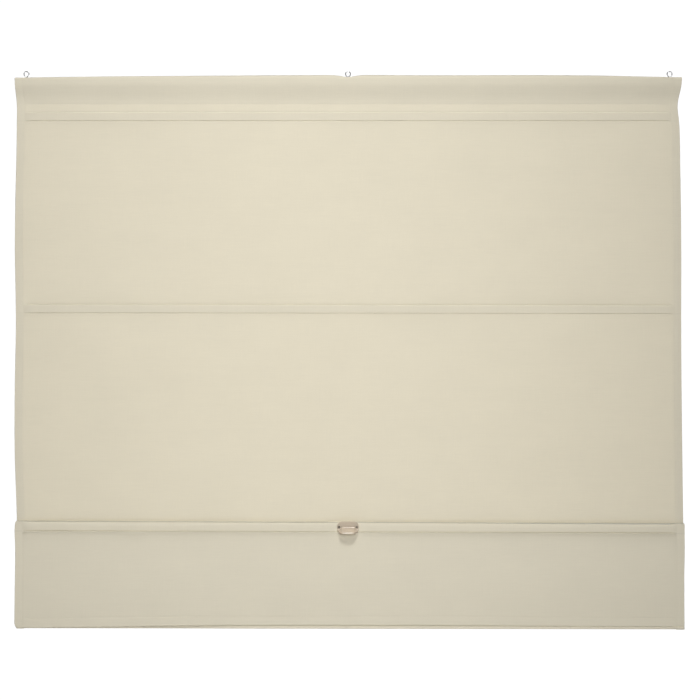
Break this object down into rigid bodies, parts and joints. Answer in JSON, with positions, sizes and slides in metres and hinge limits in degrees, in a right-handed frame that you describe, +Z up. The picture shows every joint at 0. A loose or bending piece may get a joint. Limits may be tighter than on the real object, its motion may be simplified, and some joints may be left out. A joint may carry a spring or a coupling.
{
  "type": "roman blind",
  "caption": "Cordless roman blind: one cloth on a timber head batten with screw eyes, slat pockets, a raised fold at the foot and a clear pull.",
  "frame": {"origin": "centre of the middle screw eye's ring, from which the blind hangs", "axes": "+X along the blind to the viewer's right, -Y into the room, +Z up"},
  "size_m": [1.4, 0.041, 1.1729],
  "materials": {
    "cloth": "plain-woven beige polyester cloth, matt, lets some light through",
    "tape": "woven tape",
    "batten_wood": "planed softwood",
    "eye_steel": "zinc-plated wire",
    "slat_plastic": "extruded off-white",
    "magnet": "nickel-plated",
    "bar_steel": "galvanised",
    "grip_plastic": "clear moulded plastic, faintly pink",
    "screw_steel": "small machine-cut screw"
  },
  "bodies": {
    "root": {"fabric_panel": "cloth", "head_batten": "batten_wood", "screw_eye_left": "eye_steel", "screw_eye_centre": "eye_steel", "screw_eye_right": "eye_steel", "pocket_tape_1": "tape", "slat_1": "slat_plastic", "magnet_1_left": "magnet", "magnet_1_right": "magnet", "pocket_tape_2": "tape", "slat_2": "slat_plastic", "magnet_2_left": "magnet", "magnet_2_right": "magnet", "pocket_tape_3": "tape", "slat_3": "slat_plastic", "magnet_3_left": "magnet", "magnet_3_right": "magnet", "pocket_tape_4": "tape", "slat_4": "slat_plastic", "magnet_4_left": "magnet", "magnet_4_right": "magnet", "bottom_weight_bar": "bar_steel", "grip_pull": "grip_plastic", "grip_screw_left": "screw_steel", "grip_screw_right": "screw_steel"}
  },
  "joints": []
}
